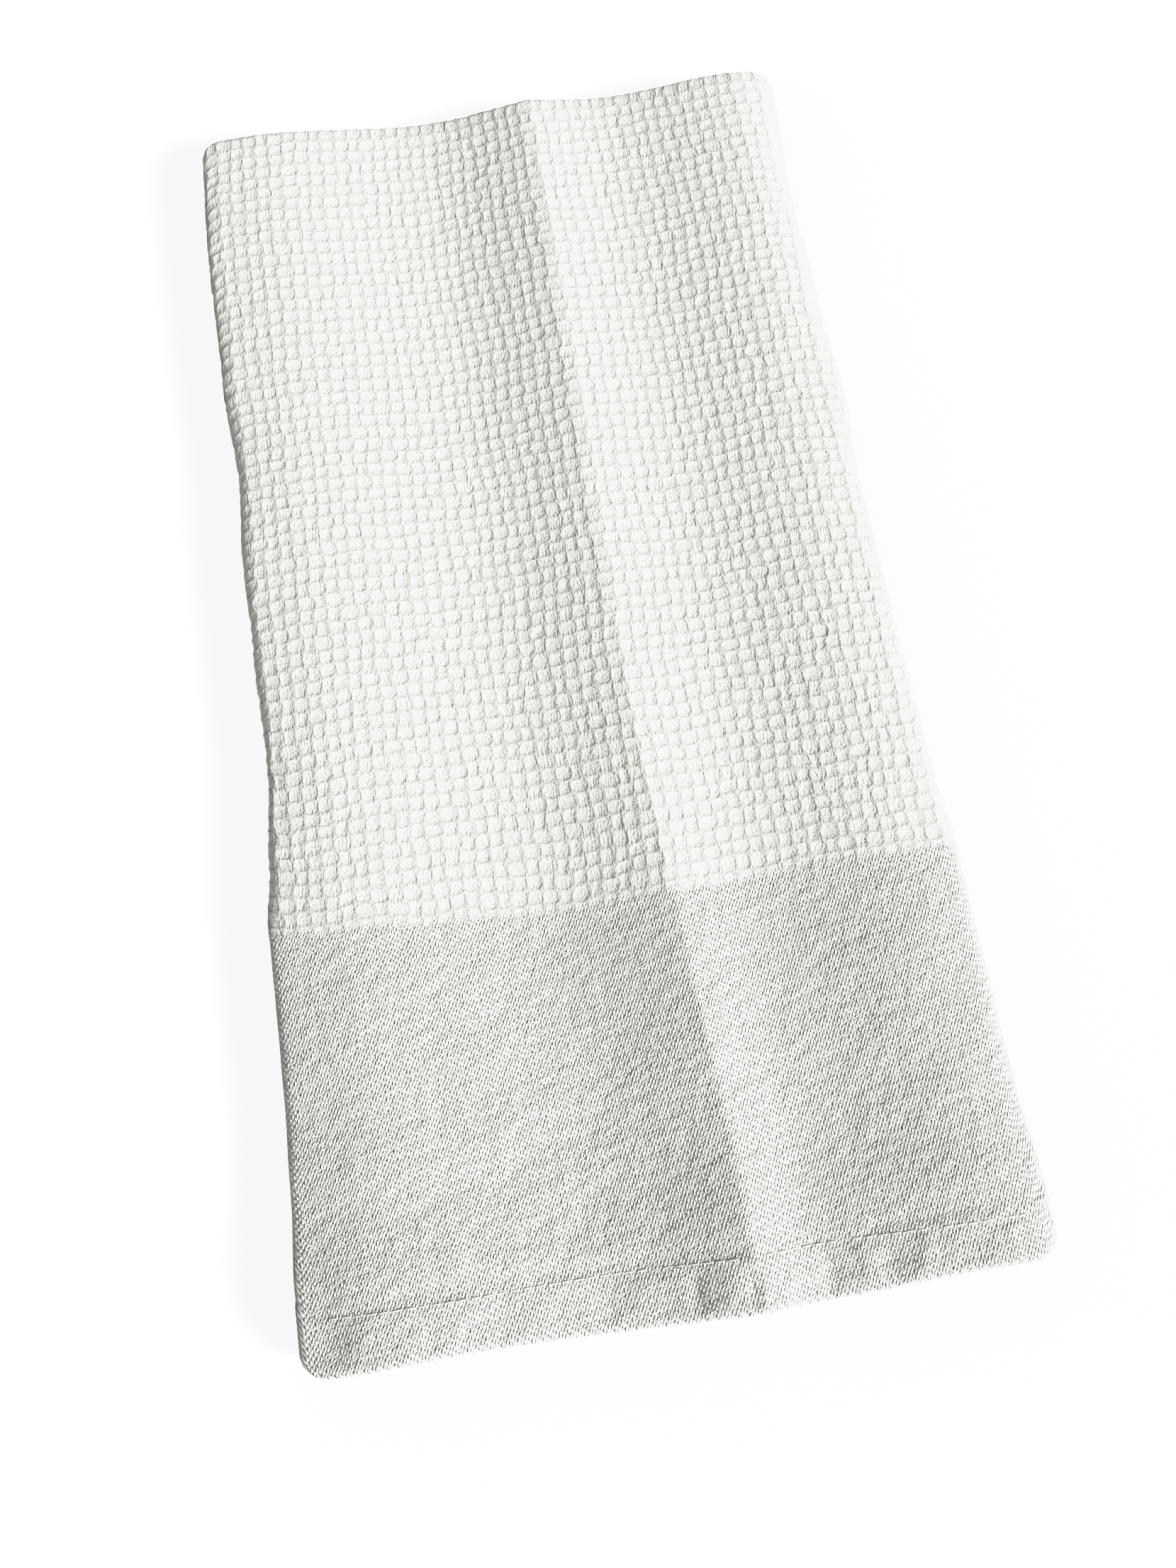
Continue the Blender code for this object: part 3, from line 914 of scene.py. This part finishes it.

# %% [markdown]
# ## Which piece stands for what
#
# The imported model's own cloth stays for its weight and collision, but it is hidden: the two
# halves drawn here stand for it. There are no joints, so all rides on the one body.

# %% Ride and replace
for piece in (front_cloth, rear_cloth, hem_stitches):
    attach(piece, "root")
    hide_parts("towel_cloth")

# %% [markdown]
# ## The floor
#
# The picture's ground is pure white. A matt white floor stands in for it and takes only a soft
# shadow. White paint under this light would still come out grey, and a stronger light would burn
# out the cloth, so the floor also glows a little. Only the camera sees that glow, by way of the
# Light Path node, so no light from it falls on the towel.

# %% Floor
FLOOR = 6.0
FLOOR_GLOW = 0.9
WHITE = linear("#FFFFFF")
bpy.ops.object.select_all(action="DESELECT")
bpy.ops.mesh.primitive_plane_add(size=FLOOR, location=(0, 0, 0))
floor = bpy.context.active_object
floor.name = "floor"
paint, paint_tree, paint_shader = new_material(
    "matt_white_paint", Base_Color=WHITE, Roughness=0.9, Emission_Color=WHITE
)
to_camera = node(paint_tree, "LightPath").outputs["Is Camera Ray"]
glow = node(paint_tree, "Math", (to_camera, FLOOR_GLOW), operation="MULTIPLY")
paint_tree.links.new(glow.outputs[0], paint_shader.inputs["Emission Strength"])
floor.data.materials.append(paint)
print("floor in m:", FLOOR)

# %% [markdown]
# ## The light
#
# The light falls from the lower right of the picture, low and broad like a window's, and the
# room gives the rest. That low light is what draws the cells and the ridge. A sun lamp with a wide
# disc does this with one value for its softness. Past the edge of the floor the camera sees the
# room, which is as white as the floor for the camera and dim for the towel.

# %% Window and room
LIGHT_TOWARDS = (0.85, -0.52)
LIGHT_HEIGHT = 30  # degrees above the floor
LIGHT_SPREAD = 35  # degrees across, as seen from the towel
LIGHT_STRENGTH = 5.75
ROOM_LIGHT = 0.2
WALL_GLOW = 1.6  # added where the camera looks past the floor

above = math.radians(LIGHT_HEIGHT)
towards = Vector((*(part * math.cos(above) for part in LIGHT_TOWARDS), math.sin(above)))
window = bpy.data.objects.new("window_light", bpy.data.lights.new("window_light", "SUN"))
bpy.context.scene.collection.objects.link(window)
window.data.angle = math.radians(LIGHT_SPREAD)
window.data.energy = LIGHT_STRENGTH
window.rotation_euler = towards.to_track_quat("Z", "Y").to_euler()

room = bpy.data.worlds.new("room")
bpy.context.scene.world = room
room.use_nodes = True
air = room.node_tree.nodes["Background"]
air.inputs["Color"].default_value = WHITE
seen = node(room.node_tree, "LightPath").outputs["Is Camera Ray"]
brightness = node(
    room.node_tree, "Math", (seen, WALL_GLOW, ROOM_LIGHT), operation="MULTIPLY_ADD"
)
room.node_tree.links.new(brightness.outputs[0], air.inputs["Strength"])
print("window light from", [round(part, 3) for part in towards])

# %% [markdown]
# ## The film
#
# A photograph doesn't print brightness evenly. White cloth is held just under paper white, with
# soft shoulders in the lights, while the ground behind it is left to go fully white. A curve in
# the scene's colour management does the same: each pair is a brightness and what it prints as.

# %% Film curve
FILM_WHITE = 2.0  # brightness at the right end of the curve
FILM_CURVE = (
    (0.2, 0.17), (0.4, 0.42), (0.6, 0.69), (0.8, 0.845), (0.95, 0.91), (1.7, 0.95), (1.86, 1.0),
)
COMBINED = 3  # the curve that acts on red, green and blue together
view = bpy.context.scene.view_settings
view.view_transform = "Standard"
view.use_curve_mapping = True
view.curve_mapping.white_level = (FILM_WHITE,) * 3
for shown, printed in FILM_CURVE:
    view.curve_mapping.curves[COMBINED].points.new(shown / FILM_WHITE, printed)
view.curve_mapping.update()
print("film curve of", len(view.curve_mapping.curves[COMBINED].points), "points")
